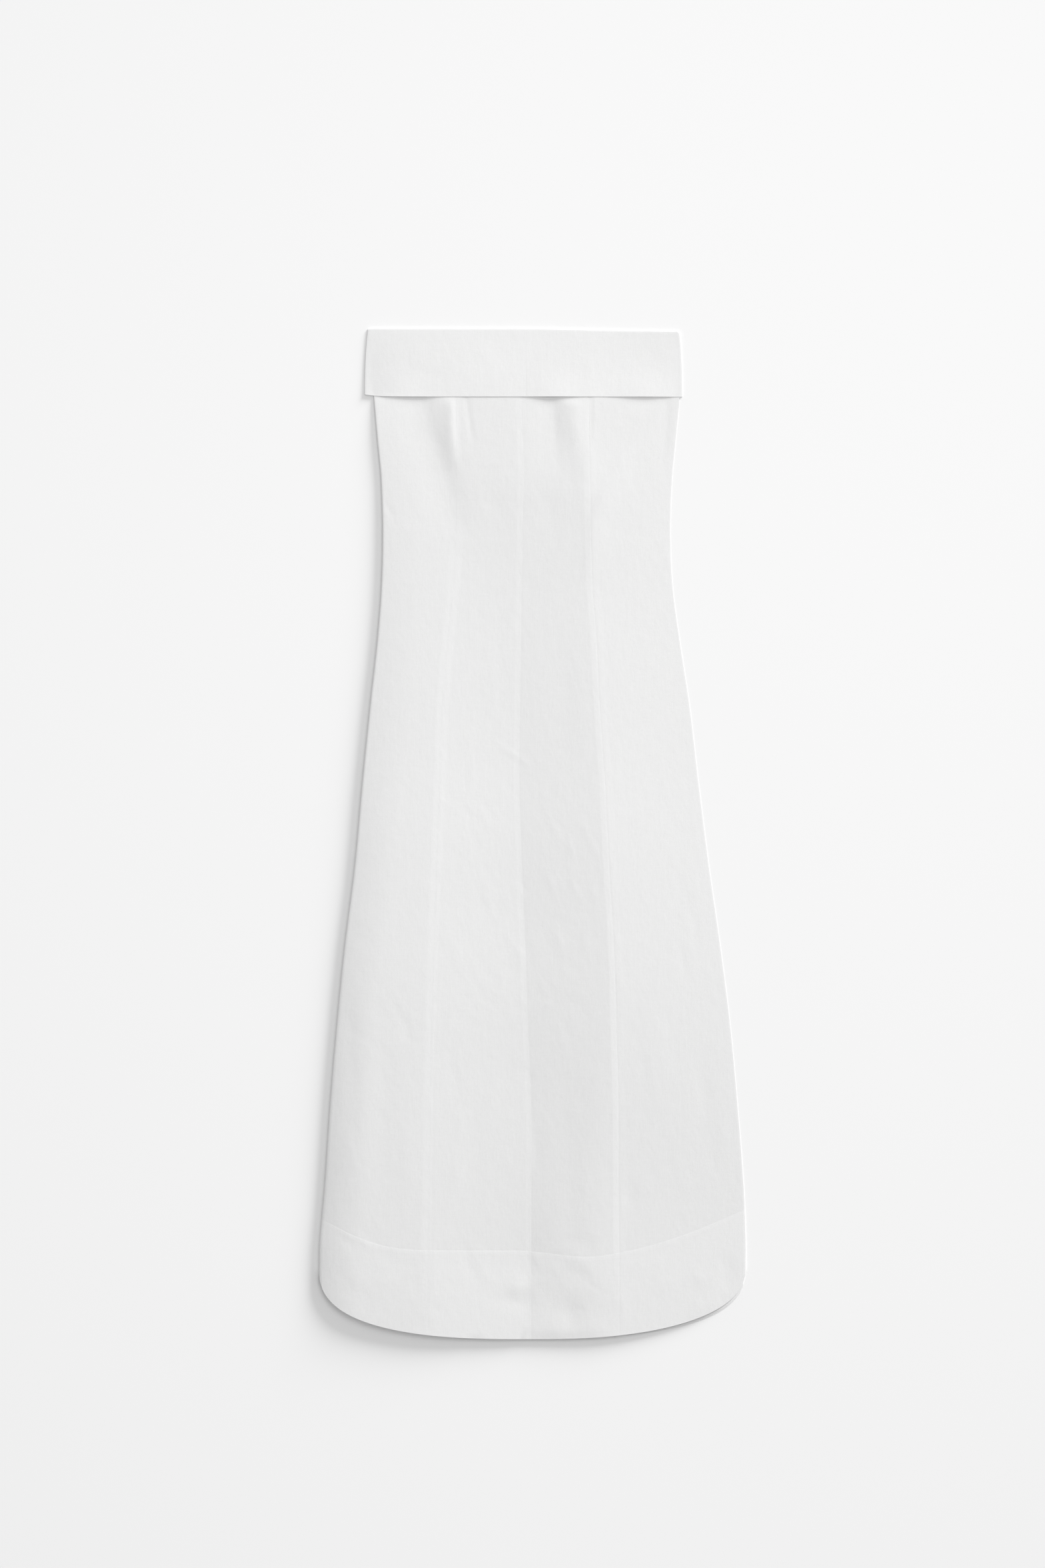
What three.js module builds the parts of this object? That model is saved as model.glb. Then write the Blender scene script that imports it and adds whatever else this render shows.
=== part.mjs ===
// Strapless linen dress with a turned-down cuff, laid flat on its back, in millimetres.
// +Z is up and the cuff points to +Y. Left and right are as seen from above.
// The origin lies on the surface under the dress, at the middle of its outline.

import * as THREE from 'three';

// Cloth, and the air at a seam or between two layers
const CLOTH = 1.2;
const CUFF_CLOTH = 1.5;
const SEAM_GAP = 0.3;

// Overall cut
const LENGTH = 1257.4;
const HEM_WIDTH = 531.2;
const HEM_DROP = 89.6;
const FRONT_LEFT_FULLNESS = 2.63;
const FRONT_RIGHT_FULLNESS = 2.35;
const BACK_FULLNESS = 2.63;
const FACING_SIDE_INSET = 3.2;
const FACING_HEM_INSET = 1.5;

// Cuff
const CUFF_DEPTH = 85;
const CUFF_LEFT = -209.2;
const CUFF_RIGHT = 186.8;
const CUFF_FLARE = 4.15;
const CUFF_FLARE_POWER = 2.5;
const CUFF_SEAM = -8.3;
const CUFF_RETURN = 14;
const RETURN_INSET = 3;
const RETURN_SPREAD = 5;
const TOP_SLOPE = 3.3;
const TOP_SLOPE_FROM = -35;
const TOP_SLOPE_TO = 180;
const LEFT_CORNER_RISE = 3.7;
const LEFT_CORNER_WIDTH = 16;

// Heights, worked out from the layers: back, its hem facing, the front's hem facing, front
const BODY_HEIGHT = 4 * CLOTH + 3 * SEAM_GAP;
const BODY_ROUND = BODY_HEIGHT / 2;
const CUFF_HEIGHT = BODY_HEIGHT + 2 * (CUFF_CLOTH + SEAM_GAP);
const CUFF_ROUND = CUFF_HEIGHT / 2;
const CUFF_STEP = CUFF_CLOTH + SEAM_GAP;
const RETURN_OUT = CUFF_STEP + CLOTH + SEAM_GAP;
const RETURN_IN = RETURN_OUT + CLOTH;

// Where the body rises to lie inside the cuff, and where the rows of the skirt run straight
const LIFT_FROM = 510;
const LIFT_TO = 538;
const STRAIGHT_FROM = -257;
const BUST_FROM = 400;

// The front's soft rise inside its side edges, and the room its folds have above the back
const LOFT = 0.6;
const LOFT_WIDTH = 60;
const EDGE_CALM = 14;
const FOLD_ROOM = 2.95;
const FACING_CALM = 30;

const TOP = LENGTH / 2;
const BOTTOM = -LENGTH / 2;
const SIDE_END = BOTTOM + HEM_DROP;
const CUFF_EDGE = TOP - CUFF_DEPTH;
const BODICE_TOP_TUCK = RETURN_IN / 2 + 0.05;

// Outline and front seams, a row for each height, from the side ends of the hem to the top
const CUT = [
  { y: SIDE_END, left: -265.6, princessLeft: -128.7, centre: -2.5, princessRight: 108.3, right: 265.6 },
  { y: -505.9, left: -264.8, princessLeft: -128.7, centre: -2.5, princessRight: 107.9, right: 265.6 },
  { y: -439.5, left: -259.0, princessLeft: -128.2, centre: -2.5, princessRight: 107.5, right: 263.1 },
  { y: -339.9, left: -252.3, princessLeft: -127.0, centre: -2.5, princessRight: 107.1, right: 255.6 },
  { y: -240.3, left: -244.0, princessLeft: -124.5, centre: -6.6, princessRight: 104.6, right: 246.5 },
  { y: -140.7, left: -234.1, princessLeft: -122.0, centre: -10.0, princessRight: 101.3, right: 234.1 },
  { y: -41.1, left: -221.6, princessLeft: -118.7, centre: -14.1, princessRight: 95.5, right: 220.0 },
  { y: 58.5, left: -212.5, princessLeft: -115.4, centre: -17.4, princessRight: 90.5, right: 207.5 },
  { y: 158.1, left: -202.5, princessLeft: -112.1, centre: -16.6, princessRight: 83.8, right: 195.9 },
  { y: 241.1, left: -193.4, princessLeft: -105.4, centre: -15.4, princessRight: 79.7, right: 183.4 },
  { y: 307.5, left: -188.4, princessLeft: -98.8, centre: -14.5, princessRight: 74.7, right: 174.7 },
  { y: 373.9, left: -186.8, princessLeft: -95.9, centre: -13.7, princessRight: 72.8, right: 171.8 },
  { y: 440.3, left: -188.8, princessLeft: -95.4, centre: -11.9, princessRight: 71.8, right: 173.9 },
  { y: 490.1, left: -193.4, princessLeft: -94.8, centre: -12.9, princessRight: 70.9, right: 178.5 },
  { y: 538.3, left: -197.5, princessLeft: -94.6, centre: -14.9, princessRight: 70.6, right: 182.6 },
  { y: 612.0, left: -202.6, princessLeft: -94.4, centre: -9.5, princessRight: 70.4, right: 181.4 },
  { y: TOP, left: -203.1, princessLeft: -94.4, centre: -8.3, princessRight: 70.4, right: 180.6 },
];

// Upper edge of the hem facings
const FACING_TOP = [
  { x: -265.6, y: -478.0 },
  { x: -212.5, y: -503.4 },
  { x: -166.8, y: -515.5 },
  { x: -90.5, y: -518.5 },
  { x: -8.3, y: -519.5 },
  { x: 67.2, y: -526.5 },
  { x: 119.5, y: -519.2 },
  { x: 177.6, y: -503.4 },
  { x: 235.7, y: -481.0 },
  { x: 265.6, y: -467.5 },
];

// Largest folds of the front: a line, how far it spreads, and how far it stands up or sinks
const FOLDS = [
  { x1: -134, y1: 556, x2: -99, y2: 452, spread: 8, rise: -2.9 },
  { x1: -95.5, y1: 540, x2: -95, y2: 476, spread: 7, rise: 1.4 },
  { x1: -82, y1: 540, x2: -69, y2: 484, spread: 6, rise: -1.0 },
  { x1: 30, y1: 548, x2: 30.5, y2: 472, spread: 7, rise: -2.2 },
  { x1: 53, y1: 542, x2: 53, y2: 474, spread: 14, rise: 1.4 },
  { x1: 4, y1: 541, x2: 40, y2: 541, spread: 9, rise: -2.4 },
  { x1: 105, y1: 541, x2: 163, y2: 541, spread: 9, rise: -2.2 },
  { x1: -186, y1: 541, x2: -142, y2: 541, spread: 9, rise: -1.4 },
  { x1: 140, y1: 494, x2: 76, y2: 397, spread: 14, rise: 0.8 },
];

// Soft bumps of the cuff's front
const CUFF_BUMPS = [
  { x: 51, y: 562, spread: 20, rise: 0.8 },
  { x: 150, y: 560, spread: 22, rise: 0.8 },
  { x: -160, y: 572, spread: 30, rise: 0.4 },
];

// Columns and rows of the walls
const ARCS = [0, 30, 60];
const SIDE_COLUMNS = 12;
const CENTRE_COLUMNS = 9;
const BACK_COLUMNS = 6;
const CUFF_COLUMNS = 7;
const FACING_COLUMNS = 22;
const SKIRT_ROWS = 12;
const BUST_ROWS = 13;
const HEM_SHARES = [0, 0.04, 0.13, 0.3, 0.52, 0.76];
const FACING_SHARES = [0, 0.35, 0.7, 1];
const FLAP_SHARES = [0, 0.25, 0.5, 0.75];
const BEND_STEPS = 5;

// How much closer the columns stand towards a rounded side edge
const EVEN = 1;
const FRONT_CROWDING = 1.2;
const BACK_CROWDING = 1.8;

const LINEN = { color: 0xf2f1ee, roughness: 0.92, metalness: 0 };

const { clamp, degToRad, lerp, smoothstep } = THREE.MathUtils;

// A smooth curve through the rows of a table, flat beyond its ends
function along(table, key, value, place) {
  const last = table.length - 1;
  if (place <= table[0][key]) return table[0][value];
  if (place >= table[last][key]) return table[last][value];
  const i = table.findIndex((row, n) => n < last && place < table[n + 1][key]);
  const slope = (n) => {
    const a = table[Math.max(n - 1, 0)];
    const b = table[Math.min(n + 1, last)];
    return (b[value] - a[value]) / (b[key] - a[key]);
  };
  const step = table[i + 1][key] - table[i][key];
  const t = (place - table[i][key]) / step;
  const between = lerp(table[i][value], table[i + 1][value], smoothstep(t, 0, 1));
  const leaving = slope(i) * step * t * (1 - t) ** 2;
  const arriving = slope(i + 1) * step * (1 - t) * t ** 2;
  return between + leaving - arriving;
}

// A line that a piece ends on. into points to the piece's inside, and round marks a side edge of the dress
const seam = (name, into) => ({ at: (y) => along(CUT, 'y', name, y), into, round: false });
const side = (name, into) => ({ ...seam(name, into), round: true });

const backSeam = (into) => {
  const middle = (y) => (along(CUT, 'y', 'left', y) + along(CUT, 'y', 'right', y)) / 2;
  return { at: middle, into, round: false };
};

function cuffSide(corner, into) {
  const height = (y) => clamp((y - CUFF_EDGE) / CUFF_DEPTH, 0, 1);
  return { at: (y) => corner + into * CUFF_FLARE * height(y) ** CUFF_FLARE_POWER, into, round: true };
}

const cuffSeam = (into) => ({ at: () => CUFF_SEAM, into, round: false });

// Columns of a piece from one line to the next, with the arcs of a rounded side edge
function columnsBetween(start, end, count, crowding) {
  const columns = [];
  const shareOf = (part) => (end.round ? 1 - (1 - part) ** crowding : part ** crowding);
  if (start.round) ARCS.forEach((arc) => columns.push({ line: start, arc: degToRad(arc) }));
  for (let i = 0; i <= count; i += 1) columns.push({ start, end, share: shareOf(i / count) });
  if (end.round) [...ARCS].reverse().forEach((arc) => columns.push({ line: end, arc: degToRad(arc) }));
  return columns;
}

// Place across the dress of a column, a depth below the outer surface of a flat tube with rounded sides
function across(column, y, depth, round) {
  const { line, arc, start, end, share } = column;
  if (line) return line.at(y) + line.into * (depth + (round - depth) * (1 - Math.cos(arc)));
  const inset = (l) => l.at(y) + l.into * (l.round ? round : SEAM_GAP / 2);
  return lerp(inset(start), inset(end), share);
}

// Height of the same column above the middle of the tube
function standing(column, depth, round) {
  const rise = column.line ? (round - depth) * Math.sin(column.arc) : round - depth;
  return Math.max(rise, SEAM_GAP / 2);
}

const lift = (y) => smoothstep(y, LIFT_FROM, LIFT_TO);
const bodyMiddle = (y) => BODY_ROUND + CUFF_STEP * lift(y);

function hemEdge(x, leftFullness, rightFullness) {
  const n = x < 0 ? leftFullness : rightFullness;
  const share = Math.min(Math.abs(x) / (HEM_WIDTH / 2), 1);
  return SIDE_END - HEM_DROP * (1 - share ** n) ** (1 / n);
}

const frontHem = (x) => hemEdge(x, FRONT_LEFT_FULLNESS, FRONT_RIGHT_FULLNESS);
const backHem = (x) => hemEdge(x, BACK_FULLNESS, BACK_FULLNESS);
const facingTop = (x) => along(FACING_TOP, 'x', 'y', x);
const topEdge = (x) => TOP - TOP_SLOPE * smoothstep(x, TOP_SLOPE_FROM, TOP_SLOPE_TO);

// Shape of one fold at a point, 1 on its line and fading on all sides
function foldAt(fold, x, y) {
  const from = new THREE.Vector3(fold.x1, fold.y1, 0);
  const to = new THREE.Vector3(fold.x2, fold.y2, 0);
  const line = new THREE.Line3(from, to);
  const point = new THREE.Vector3(x, y, 0);
  const distance = line.closestPointToPoint(point, true, new THREE.Vector3()).distanceTo(point);
  return Math.exp(-((distance / fold.spread) ** 2));
}

// How far the front stands above or below its plain height
function frontRelief(x, y) {
  const edge = Math.min(x - along(CUT, 'y', 'left', y), along(CUT, 'y', 'right', y) - x);
  let up = LOFT * smoothstep(edge, 0, LOFT_WIDTH);
  let down = 0;
  for (const fold of FOLDS) {
    const amount = fold.rise * foldAt(fold, x, y);
    up += Math.max(amount, 0);
    down += Math.max(-amount, 0);
  }
  const overFacing = smoothstep(y, facingTop(x) + SEAM_GAP, facingTop(x) + FACING_CALM);
  const sunk = FOLD_ROOM * Math.tanh(down / FOLD_ROOM) * overFacing;
  return smoothstep(edge, 0, EDGE_CALM) * (up * (1 - lift(y)) - sunk);
}

// Rows of the body as heights that depend on the column, from the hem to the top
function bodyRows(hem) {
  const atHem = (column) => across(column, BOTTOM, 0, BODY_ROUND);
  const rows = HEM_SHARES.map((share) => (column) => lerp(hem(atHem(column)), STRAIGHT_FROM, share));
  for (let i = 0; i < SKIRT_ROWS; i += 1) rows.push(() => lerp(STRAIGHT_FROM, BUST_FROM, i / SKIRT_ROWS));
  for (let i = 0; i <= BUST_ROWS; i += 1) rows.push(() => lerp(BUST_FROM, CUFF_EDGE, i / BUST_ROWS));
  rows.push(() => CUFF_EDGE + CUFF_DEPTH / 5);
  rows.push(() => CUFF_EDGE + CUFF_DEPTH / 2);
  rows.push(() => TOP - CUFF_RETURN - 2 * SEAM_GAP);
  rows.push((column) => topEdge(across(column, TOP, 0, BODY_ROUND)) - BODICE_TOP_TUCK);
  return rows;
}

// A closed wall between an outer and an inner grid of points, which have the same rows and columns
function wall(outer, inner) {
  const rows = outer.length;
  const columns = outer[0].length;
  const index = [];
  const out = (r, c) => r * columns + c;
  const inn = (r, c) => (rows + r) * columns + c;
  const quad = (a, b, c, d) => index.push(a, b, c, a, c, d);
  for (let r = 0; r < rows - 1; r += 1) {
    for (let c = 0; c < columns - 1; c += 1) {
      quad(out(r, c), out(r, c + 1), out(r + 1, c + 1), out(r + 1, c));
      quad(inn(r, c), inn(r + 1, c), inn(r + 1, c + 1), inn(r, c + 1));
    }
    quad(out(r, 0), out(r + 1, 0), inn(r + 1, 0), inn(r, 0));
    quad(out(r + 1, columns - 1), out(r, columns - 1), inn(r, columns - 1), inn(r + 1, columns - 1));
  }
  for (let c = 0; c < columns - 1; c += 1) {
    quad(out(0, c + 1), out(0, c), inn(0, c), inn(0, c + 1));
    quad(out(rows - 1, c), out(rows - 1, c + 1), inn(rows - 1, c + 1), inn(rows - 1, c));
  }
  const geometry = new THREE.BufferGeometry();
  geometry.setAttribute('position', new THREE.Float32BufferAttribute([outer, inner].flat(3), 3));
  geometry.setIndex(index);
  geometry.computeVertexNormals();
  return geometry;
}

function frontPanel(start, end, count) {
  const columns = columnsBetween(start, end, count, start.round || end.round ? FRONT_CROWDING : EVEN);
  const grid = (depth) => bodyRows(frontHem).map((row) => columns.map((column) => {
    const y = row(column);
    const x = across(column, y, depth, BODY_ROUND);
    const relief = frontRelief(across(column, y, 0, BODY_ROUND), y);
    return [x, y, bodyMiddle(y) + standing(column, depth, BODY_ROUND) + relief];
  }));
  return wall(grid(0), grid(CLOTH));
}

// The back is laid out from right to left, so that its outer face looks down
function backPanel(start, end) {
  const columns = columnsBetween(start, end, BACK_COLUMNS, BACK_CROWDING);
  const grid = (depth) => bodyRows(backHem).map((row) => columns.map((column) => {
    const y = row(column);
    return [across(column, y, depth, BODY_ROUND), y, bodyMiddle(y) - standing(column, depth, BODY_ROUND)];
  }));
  return wall(grid(0), grid(CLOTH));
}

// A hem facing, from its lower edge inside the hem fold to its stitched upper edge
function facing(hem, bottom, top) {
  const left = side('left', 1);
  const right = side('right', -1);
  const columns = Array.from({ length: FACING_COLUMNS + 1 }, (_, i) => i / FACING_COLUMNS);
  const grid = (z) => FACING_SHARES.map((share) => columns.map((column) => {
    const place = Math.sin(degToRad(lerp(-90, 90, column)));
    const atHem = place * (HEM_WIDTH / 2 - FACING_SIDE_INSET);
    const y = lerp(hem(atHem) + FACING_HEM_INSET, facingTop(atHem), share);
    const x = lerp(left.at(y) + FACING_SIDE_INSET, right.at(y) - FACING_SIDE_INSET, (place + 1) / 2);
    return [x, y, z];
  }));
  return wall(grid(top), grid(bottom));
}

// Lower edge of the cuff, with its raised left corner
const flapEdge = (x) => CUFF_EDGE + LEFT_CORNER_RISE * Math.exp(-(x - CUFF_LEFT) / LEFT_CORNER_WIDTH);

// The cuff's section from its lower edge over the top fold to the end of its inner return.
// Each point has its depth inside the cuff, how far it lies below the top fold, and its turn over the fold.
function cuffSection(legDepth, returnDepth) {
  const radius = (returnDepth - legDepth) / 2;
  const middle = (returnDepth + legDepth) / 2;
  const foldDepth = RETURN_IN / 2;
  const section = FLAP_SHARES.map((share) => ({ depth: legDepth, below: foldDepth, share, turn: 0 }));
  for (let i = 0; i <= BEND_STEPS; i += 1) {
    const angle = (Math.PI * i) / BEND_STEPS;
    const depth = middle - radius * Math.cos(angle);
    section.push({ depth, below: foldDepth - radius * Math.sin(angle), share: 1, turn: i / BEND_STEPS });
  }
  section.push({ depth: returnDepth, below: CUFF_RETURN, share: 1, turn: 1 });
  return section;
}

const bumpAt = (bump, x, y) => Math.exp(-((x - bump.x) ** 2 + (y - bump.y) ** 2) / bump.spread ** 2);
const cuffRelief = (x, y) => CUFF_BUMPS.reduce((sum, bump) => sum + bump.rise * bumpAt(bump, x, y), 0);

// How far the inner return of a column is drawn in, most at a side edge and nothing at a seam
function narrowing(column) {
  const { line, arc, start, end, share } = column;
  if (line) return line.into * (RETURN_INSET + (RETURN_SPREAD * arc) / (Math.PI / 2));
  const full = RETURN_INSET + RETURN_SPREAD;
  const atStart = start.round ? start.into * full * (1 - share) : 0;
  const atEnd = end.round ? end.into * full * share : 0;
  return atStart + atEnd;
}

// A piece of the cuff. face is 1 for the front and -1 for the back, and relief is the front's alone
function cuffPiece(start, end, count, face, relief) {
  const columns = columnsBetween(start, end, count, EVEN);
  const place = (point, column) => {
    const plainX = across(column, TOP, 0, CUFF_ROUND);
    const y = lerp(flapEdge(plainX), topEdge(plainX) - point.below, point.share);
    const x = across(column, y, point.depth, CUFF_ROUND) + point.turn * narrowing(column);
    const swell = column.line ? 0 : relief(plainX, y) * (1 - point.share);
    return [x, y, CUFF_ROUND + face * standing(column, point.depth, CUFF_ROUND) + swell];
  };
  const grid = (leg, inner) => cuffSection(leg, inner).map((point) => columns.map((c) => place(point, c)));
  return wall(grid(0, RETURN_IN), grid(CUFF_CLOTH, RETURN_OUT));
}

const garment = new THREE.Group();

function add(name, geometry) {
  const mesh = new THREE.Mesh(geometry, new THREE.MeshStandardMaterial(LINEN));
  mesh.name = name;
  garment.add(mesh);
}

const flat = () => 0;
const facingLow = CLOTH + SEAM_GAP;
const facingHigh = BODY_HEIGHT - CLOTH - SEAM_GAP;

add('front_side_left', frontPanel(side('left', 1), seam('princessLeft', -1), SIDE_COLUMNS));
add('front_centre_left', frontPanel(seam('princessLeft', 1), seam('centre', -1), CENTRE_COLUMNS));
add('front_centre_right', frontPanel(seam('centre', 1), seam('princessRight', -1), CENTRE_COLUMNS));
add('front_side_right', frontPanel(seam('princessRight', 1), side('right', -1), SIDE_COLUMNS));
add('back_left', backPanel(backSeam(-1), side('left', 1)));
add('back_right', backPanel(side('right', -1), backSeam(1)));
add('hem_facing_front', facing(frontHem, facingHigh - CLOTH, facingHigh));
add('hem_facing_back', facing(backHem, facingLow, facingLow + CLOTH));
add('cuff_front_left', cuffPiece(cuffSide(CUFF_LEFT, 1), cuffSeam(-1), CUFF_COLUMNS, 1, cuffRelief));
add('cuff_front_right', cuffPiece(cuffSeam(1), cuffSide(CUFF_RIGHT, -1), CUFF_COLUMNS, 1, cuffRelief));
add('cuff_back', cuffPiece(cuffSide(CUFF_RIGHT, -1), cuffSide(CUFF_LEFT, 1), CUFF_COLUMNS, -1, flat));

export default garment;
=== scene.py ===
# Strapless linen dress with a turned-down cuff, laid flat on its back and seen from straight above
import math

import bpy
import numpy as np
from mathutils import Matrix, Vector


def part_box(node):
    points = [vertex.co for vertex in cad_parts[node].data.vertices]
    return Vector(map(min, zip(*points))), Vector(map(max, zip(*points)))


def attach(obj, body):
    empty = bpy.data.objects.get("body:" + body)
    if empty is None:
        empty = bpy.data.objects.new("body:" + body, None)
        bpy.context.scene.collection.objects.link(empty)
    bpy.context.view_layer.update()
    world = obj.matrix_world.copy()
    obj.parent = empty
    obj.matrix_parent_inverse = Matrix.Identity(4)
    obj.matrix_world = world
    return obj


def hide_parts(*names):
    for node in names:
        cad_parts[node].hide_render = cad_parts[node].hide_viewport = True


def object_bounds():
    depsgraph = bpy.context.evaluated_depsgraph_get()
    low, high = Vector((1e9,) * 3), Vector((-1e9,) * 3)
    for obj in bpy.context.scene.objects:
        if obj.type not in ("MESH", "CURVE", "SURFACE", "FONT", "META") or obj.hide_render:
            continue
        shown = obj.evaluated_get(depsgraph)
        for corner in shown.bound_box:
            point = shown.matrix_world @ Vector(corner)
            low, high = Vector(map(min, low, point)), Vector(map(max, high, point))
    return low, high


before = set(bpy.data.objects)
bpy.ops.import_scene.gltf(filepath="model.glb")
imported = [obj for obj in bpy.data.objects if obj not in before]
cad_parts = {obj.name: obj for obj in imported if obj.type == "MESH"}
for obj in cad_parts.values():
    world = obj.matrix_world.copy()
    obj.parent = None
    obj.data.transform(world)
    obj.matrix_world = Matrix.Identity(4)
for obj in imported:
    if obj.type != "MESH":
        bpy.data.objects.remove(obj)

# Lengths are in millimetres up to the meshes, which are in metres.
# +Z is up and the cuff points to +Y. Left and right are as seen from above.
MM = 0.001
CAD_LOW, CAD_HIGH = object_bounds()


def reach(node, axis, end):
    """Lowest (end 0) or highest (end 1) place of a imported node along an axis."""
    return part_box(node)[end]["xyz".index(axis)] / MM


# Cloth
CLOTH = 0.26
CUFF_CLOTH = 0.32
LAYER_AIR = 0.04
SEAM_GAP = 0.03
EDGE_ROUNDING = 0.03
ALLOWANCE = 8.0

# Overall cut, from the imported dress
TOP = CAD_HIGH.y / MM
BOTTOM = CAD_LOW.y / MM
HEM_WIDTH = (CAD_HIGH.x - CAD_LOW.x) / MM
HEM_DROP = 89.6
SIDE_END = BOTTOM + HEM_DROP
FRONT_LEFT_FULLNESS = 2.63
FRONT_RIGHT_FULLNESS = 2.35
BACK_FULLNESS = 2.63

# Cuff
CUFF_LEFT = reach("cuff_front_left", "x", 0)
CUFF_RIGHT = reach("cuff_front_right", "x", 1)
CUFF_EDGE = reach("cuff_front_right", "y", 0)
CUFF_DEPTH = TOP - CUFF_EDGE
CUFF_FLARE = 4.15
CUFF_FLARE_POWER = 2.5
CUFF_SEAM = -8.3
CUFF_RETURN = 14
RETURN_INSET = 3
RETURN_SPREAD = 5
TOP_SLOPE = 3.3
TOP_SLOPE_FROM = -35
TOP_SLOPE_TO = 180
LEFT_CORNER_RISE = 3.7
LEFT_CORNER_WIDTH = 16
TOP_TUCK = 2.3

# Inside the cuff the body lies one layer in from the outer faces, and the return lies behind it
CUFF_STEP = CUFF_CLOTH + LAYER_AIR
RETURN_DEPTH = CUFF_STEP + CLOTH + LAYER_AIR + CUFF_CLOTH
LIFT_FROM = 516
LIFT_TO = 542

# Side folds: how far in from the side the cloth rounds off
LEFT_FOLD = 1.5
RIGHT_FOLD = 0.3
CUFF_LEFT_FOLD = 0.7
CUFF_RIGHT_FOLD = 0.35
CUFF_TOP_FOLD = 0.3

# Outline and front seams, a row for each height, from the side ends of the hem to the top:
# height, left side, left princess seam, centre front seam, right princess seam, right side
CUT = np.array([
    (SIDE_END, -265.6, -128.7, -2.5, 108.3, 265.6),
    (-505.9, -264.8, -128.7, -2.5, 107.9, 265.6),
    (-439.5, -259.0, -128.2, -2.5, 107.5, 263.1),
    (-339.9, -252.3, -127.0, -2.5, 107.1, 255.6),
    (-240.3, -244.0, -124.5, -6.6, 104.6, 246.5),
    (-140.7, -234.1, -122.0, -10.0, 101.3, 234.1),
    (-41.1, -221.6, -118.7, -14.1, 95.5, 220.0),
    (58.5, -212.5, -115.4, -17.4, 90.5, 207.5),
    (158.1, -202.5, -112.1, -16.6, 83.8, 195.9),
    (241.1, -193.4, -105.4, -15.4, 79.7, 183.4),
    (307.5, -188.4, -98.8, -14.5, 74.7, 174.7),
    (373.9, -186.8, -95.9, -13.7, 72.8, 171.8),
    (440.3, -188.8, -95.4, -11.9, 71.8, 173.9),
    (490.1, -193.4, -94.8, -12.9, 70.9, 178.5),
    (538.3, -197.5, -94.6, -14.9, 70.6, 182.6),
    (612.0, -202.6, -94.4, -9.5, 70.4, 181.4),
    (TOP, -203.1, -94.4, -8.3, 70.4, 180.6),
])
CUT_NAMES = ("height", "left", "princess_left", "centre", "princess_right", "right")

# Upper edge of the hem facings: place across, height
FACING_TOP = np.array([
    (-265.6, -478.0), (-212.5, -503.4), (-166.8, -515.5), (-90.5, -518.5), (-8.3, -519.5),
    (67.2, -526.5), (119.5, -519.2), (177.6, -503.4), (235.7, -481.0), (265.6, -467.5),
])
FACING_SIDE_INSET = 3.2
FACING_HEM_INSET = 1.5
TURNED_EDGE = 5.6

# How high the front stands, a row for each height: height, left fold, the swell beside it,
# left princess seam, centre front seam, right princess seam, right fold
STAND = np.array([
    (BOTTOM, 7.6, 11.7, 10.4, 6.1, 7.9, 1.5),
    (-550, 7.9, 13.1, 10.8, 4.9, 7.8, 1.4),
    (-460, 7.9, 13.2, 10.6, 5.3, 6.8, 0.9),
    (-400, 7.9, 13.1, 10.4, 5.2, 6.5, 0.7),
    (-300, 8.0, 12.5, 9.9, 4.7, 7.0, 0.56),
    (-200, 8.1, 12.2, 9.9, 5.1, 7.1, 0.56),
    (-100, 8.3, 11.7, 9.5, 4.6, 6.9, 0.56),
    (0, 8.3, 11.2, 9.4, 5.2, 7.0, 0.56),
    (100, 8.2, 10.2, 8.5, 4.8, 6.3, 0.56),
    (200, 8.0, 9.8, 8.0, 5.2, 5.9, 0.56),
    (300, 7.4, 8.7, 7.2, 5.6, 5.4, 0.56),
    (374, 6.9, 7.8, 6.5, 6.4, 6.1, 0.56),
    (430, 6.0, 6.5, 6.5, 6.8, 6.7, 0.56),
    (500, 5.1, 5.3, 5.8, 5.7, 5.6, 0.58),
    (534, 3.4, 4.5, 5.1, 5.0, 5.0, 0.6),
    (548, 2.2, 4.0, 4.8, 4.6, 4.7, 0.7),
    (575, 1.6, 3.0, 3.8, 3.8, 3.7, 0.7),
    (605, 1.5, 2.2, 2.6, 2.6, 2.6, 0.8),
    (TOP, 1.5, 1.7, 1.7, 1.7, 1.7, 1.3),
])
STAND_NAMES = ("height", "left_fold", "swell", "left_ridge", "valley", "right_ridge", "right_fold")
SWELL_WIDTH = 50
VALLEY_SOFTNESS = 3
LEFT_RIDGE_SOFTNESS = 14
RIGHT_RIDGE_SOFTNESS = 20
RIGHT_RIDGE_SHIFT = 36
RIDGE_SPREAD = 40

# Fine relief of the front: its seams, and how deep a trough may go in the air inside
SEAM_STEP = 0.02
SEAM_GROOVE = 0.04
GROOVE_WIDTH = 1.0
TROUGH_SHARE = 0.62
FACING_ROOM = 1.0
LEAST_ROOM = 0.3

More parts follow.
